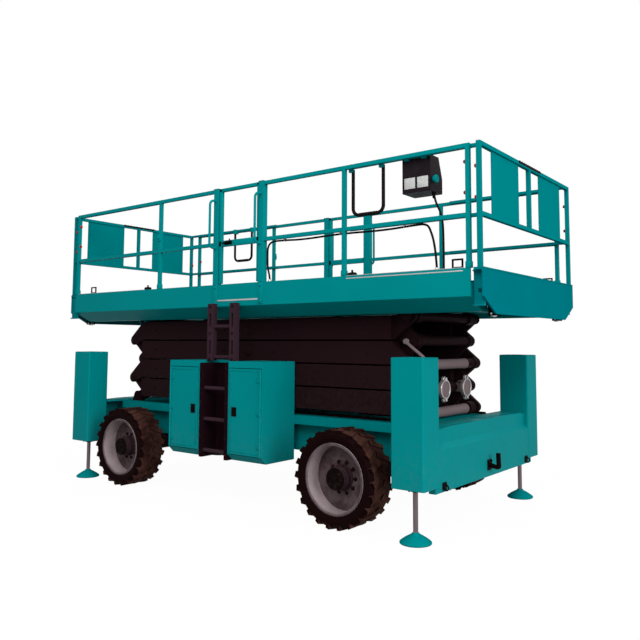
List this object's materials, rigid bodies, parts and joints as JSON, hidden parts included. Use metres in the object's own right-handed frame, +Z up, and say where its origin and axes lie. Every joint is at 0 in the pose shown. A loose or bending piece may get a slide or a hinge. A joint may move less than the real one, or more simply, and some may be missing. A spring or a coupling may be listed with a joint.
{
  "type": "rough-terrain scissor lift",
  "caption": "Four-wheeled self-propelled scissor lift with outriggers, a stacked arm pack and a railed platform with roll-out extension decks at both ends.",
  "frame": {"origin": "on the ground under the middle of the machine", "axes": "+X along the length towards the steered axle, +Y to the left side, +Z up"},
  "size_m": [5.43, 2.3, 3.05],
  "materials": {
    "teal_paint": "semi-gloss",
    "dark_paint": "satin",
    "black_paint": "satin",
    "leg_steel": "polished",
    "rim_paint": "satin",
    "tyre": "matte",
    "engine_iron": "matte",
    "black_plastic": "matte"
  },
  "bodies": {
    "chassis": {"chassis_frame": "teal_paint", "front_end_beam": "teal_paint", "rear_end_beam": "teal_paint", "front_tow_hook": "black_paint", "rear_tow_hook": "black_paint", "cabinets_left": "teal_paint", "cabinets_right": "teal_paint", "engine": "engine_iron", "lower_ladders": "dark_paint", "front_axle": "dark_paint", "rear_axle": "dark_paint"},
    "knuckle_right": {"steering_knuckle_right": "dark_paint"},
    "knuckle_left": {"steering_knuckle_left": "dark_paint"},
    "wheel_front_right": {"tyre_front_right": "tyre", "rim_front_right": "rim_paint"},
    "wheel_front_left": {"tyre_front_left": "tyre", "rim_front_left": "rim_paint"},
    "wheel_rear_right": {"tyre_rear_right": "tyre", "rim_rear_right": "rim_paint"},
    "wheel_rear_left": {"tyre_rear_left": "tyre", "rim_rear_left": "rim_paint"},
    "leg_front_right": {"front_right_outrigger_leg": "leg_steel"},
    "leg_front_left": {"front_left_outrigger_leg": "leg_steel"},
    "leg_rear_right": {"rear_right_outrigger_leg": "leg_steel"},
    "leg_rear_left": {"rear_left_outrigger_leg": "leg_steel"},
    "door_front_right": {"cabinet_door_front_right": "teal_paint"},
    "door_front_left": {"cabinet_door_front_left": "teal_paint"},
    "door_rear_right": {"cabinet_door_rear_right": "teal_paint"},
    "door_rear_left": {"cabinet_door_rear_left": "teal_paint"},
    "inner_1": {"inner_arms_1": "dark_paint"},
    "inner_2": {"inner_arms_2": "dark_paint"},
    "inner_3": {"inner_arms_3": "dark_paint"},
    "inner_4": {"inner_arms_4": "dark_paint"},
    "outer_1": {"outer_arms_1": "dark_paint"},
    "outer_2": {"outer_arms_2": "dark_paint"},
    "outer_3": {"outer_arms_3": "dark_paint"},
    "outer_4": {"outer_arms_4": "dark_paint"},
    "platform": {"platform_deck": "teal_paint", "side_rails_left": "teal_paint", "side_rails_right": "teal_paint", "upper_ladders": "dark_paint"},
    "cylinder_barrels": {"lift_barrels": "dark_paint"},
    "cylinder_rods": {"lift_rods": "leg_steel"},
    "gate_right": {"gate_right": "teal_paint"},
    "gate_left": {"gate_left": "teal_paint"},
    "extension_front": {"front_extension_deck": "teal_paint", "front_extension_rails": "teal_paint", "front_push_handle": "black_paint", "control_box": "black_plastic"},
    "extension_rear": {"rear_extension_deck": "teal_paint", "rear_extension_rails": "teal_paint", "rear_push_handle": "black_paint"}
  },
  "joints": [
    {"name": "steer_right", "type": "hinge", "parent": "chassis", "child": "knuckle_right", "pos_m": [1.43, -0.76, 0.407], "axis": [0, 0, 1], "range_deg": [-30, 30]},
    {"name": "steer_left", "type": "hinge", "parent": "chassis", "child": "knuckle_left", "pos_m": [1.43, 0.76, 0.407], "axis": [0, 0, 1], "range_deg": [-30, 30]},
    {"name": "wheel_front_right_spin", "type": "hinge", "parent": "knuckle_right", "child": "wheel_front_right", "pos_m": [1.43, -0.995, 0.407], "axis": [0, 1, 0], "continuous": true},
    {"name": "wheel_front_left_spin", "type": "hinge", "parent": "knuckle_left", "child": "wheel_front_left", "pos_m": [1.43, 0.995, 0.407], "axis": [0, 1, 0], "continuous": true},
    {"name": "wheel_rear_right_spin", "type": "hinge", "parent": "chassis", "child": "wheel_rear_right", "pos_m": [-1.43, -0.995, 0.407], "axis": [0, 1, 0], "continuous": true},
    {"name": "wheel_rear_left_spin", "type": "hinge", "parent": "chassis", "child": "wheel_rear_left", "pos_m": [-1.43, 0.995, 0.407], "axis": [0, 1, 0], "continuous": true},
    {"name": "leg_front_right_slide", "type": "slide", "parent": "chassis", "child": "leg_front_right", "axis": [0, 0, -1], "range_m": [-0.3, 0.15]},
    {"name": "leg_front_left_slide", "type": "slide", "parent": "chassis", "child": "leg_front_left", "axis": [0, 0, -1], "range_m": [-0.3, 0.15]},
    {"name": "leg_rear_right_slide", "type": "slide", "parent": "chassis", "child": "leg_rear_right", "axis": [0, 0, -1], "range_m": [-0.3, 0.15]},
    {"name": "leg_rear_left_slide", "type": "slide", "parent": "chassis", "child": "leg_rear_left", "axis": [0, 0, -1], "range_m": [-0.3, 0.15]},
    {"name": "door_front_right_hinge", "type": "hinge", "parent": "chassis", "child": "door_front_right", "pos_m": [0.6107, -1.135, 0.9075], "axis": [0, 0, 1], "range_deg": [0, 100]},
    {"name": "door_front_left_hinge", "type": "hinge", "parent": "chassis", "child": "door_front_left", "pos_m": [0.6107, 1.135, 0.9075], "axis": [0, 0, -1], "range_deg": [0, 100]},
    {"name": "door_rear_right_hinge", "type": "hinge", "parent": "chassis", "child": "door_rear_right", "pos_m": [-0.6107, -1.135, 0.9075], "axis": [0, 0, -1], "range_deg": [0, 100]},
    {"name": "door_rear_left_hinge", "type": "hinge", "parent": "chassis", "child": "door_rear_left", "pos_m": [-0.6107, 1.135, 0.9075], "axis": [0, 0, 1], "range_deg": [0, 100]},
    {"name": "lift", "type": "hinge", "parent": "chassis", "child": "inner_1", "pos_m": [-1.85, 0, 0.9], "axis": [0, -1, 0], "range_deg": [0, 60]},
    {"name": "outer_1_pivot", "type": "hinge", "parent": "inner_1", "child": "outer_1", "pos_m": [0, 0, 1.0075], "axis": [0, 1, 0], "range_deg": [0, 120]},
    {"name": "outer_2_pivot", "type": "hinge", "parent": "outer_1", "child": "outer_2", "pos_m": [-1.85, 0, 1.115], "axis": [0, -1, 0], "range_deg": [0, 120]},
    {"name": "inner_2_pivot", "type": "hinge", "parent": "outer_2", "child": "inner_2", "pos_m": [0, 0, 1.2225], "axis": [0, 1, 0], "range_deg": [0, 120]},
    {"name": "inner_3_pivot", "type": "hinge", "parent": "inner_2", "child": "inner_3", "pos_m": [-1.85, 0, 1.33], "axis": [0, -1, 0], "range_deg": [0, 120]},
    {"name": "outer_3_pivot", "type": "hinge", "parent": "inner_3", "child": "outer_3", "pos_m": [0, 0, 1.4375], "axis": [0, 1, 0], "range_deg": [0, 120]},
    {"name": "outer_4_pivot", "type": "hinge", "parent": "outer_3", "child": "outer_4", "pos_m": [-1.85, 0, 1.545], "axis": [0, -1, 0], "range_deg": [0, 120]},
    {"name": "inner_4_pivot", "type": "hinge", "parent": "outer_4", "child": "inner_4", "pos_m": [0, 0, 1.6525], "axis": [0, 1, 0], "range_deg": [0, 120]},
    {"name": "platform_pivot", "type": "hinge", "parent": "inner_4", "child": "platform", "pos_m": [-1.85, 0, 1.76], "axis": [0, -1, 0], "range_deg": [0, 60]},
    {"name": "barrel_pivot", "type": "hinge", "parent": "inner_1", "child": "cylinder_barrels", "pos_m": [1.48, 0, 1.0075], "axis": [0, 1, 0], "range_deg": [0, 122]},
    {"name": "rod_slide", "type": "slide", "parent": "cylinder_barrels", "child": "cylinder_rods", "axis": [-0.9968, 0, 0.0804], "range_m": [0, 0.662]},
    {"name": "gate_right_hinge", "type": "hinge", "parent": "platform", "child": "gate_right", "pos_m": [0.4197, -0.94, 2.5], "axis": [0, 0, -1], "range_deg": [0, 90]},
    {"name": "gate_left_hinge", "type": "hinge", "parent": "platform", "child": "gate_left", "pos_m": [0.3247, 0.94, 2.5], "axis": [0, 0, 1], "range_deg": [0, 90]},
    {"name": "extension_front_slide", "type": "slide", "parent": "platform", "child": "extension_front", "axis": [1, 0, 0], "range_m": [0, 1]},
    {"name": "extension_rear_slide", "type": "slide", "parent": "platform", "child": "extension_rear", "axis": [-1, 0, 0], "range_m": [0, 1]}
  ],
  "couplings": [
    {"joint": "steer_left", "follows": "steer_right", "ratio": 1},
    {"joint": "outer_1_pivot", "follows": "lift", "ratio": 2},
    {"joint": "outer_2_pivot", "follows": "lift", "ratio": 2},
    {"joint": "inner_2_pivot", "follows": "lift", "ratio": 2},
    {"joint": "inner_3_pivot", "follows": "lift", "ratio": 2},
    {"joint": "outer_3_pivot", "follows": "lift", "ratio": 2},
    {"joint": "outer_4_pivot", "follows": "lift", "ratio": 2},
    {"joint": "inner_4_pivot", "follows": "lift", "ratio": 2},
    {"joint": "platform_pivot", "follows": "lift", "ratio": 1},
    {"joint": "barrel_pivot", "follows": "lift", "ratio": 2.0305},
    {"joint": "rod_slide", "follows": "lift", "m_per_rad": 0.63074}
  ]
}
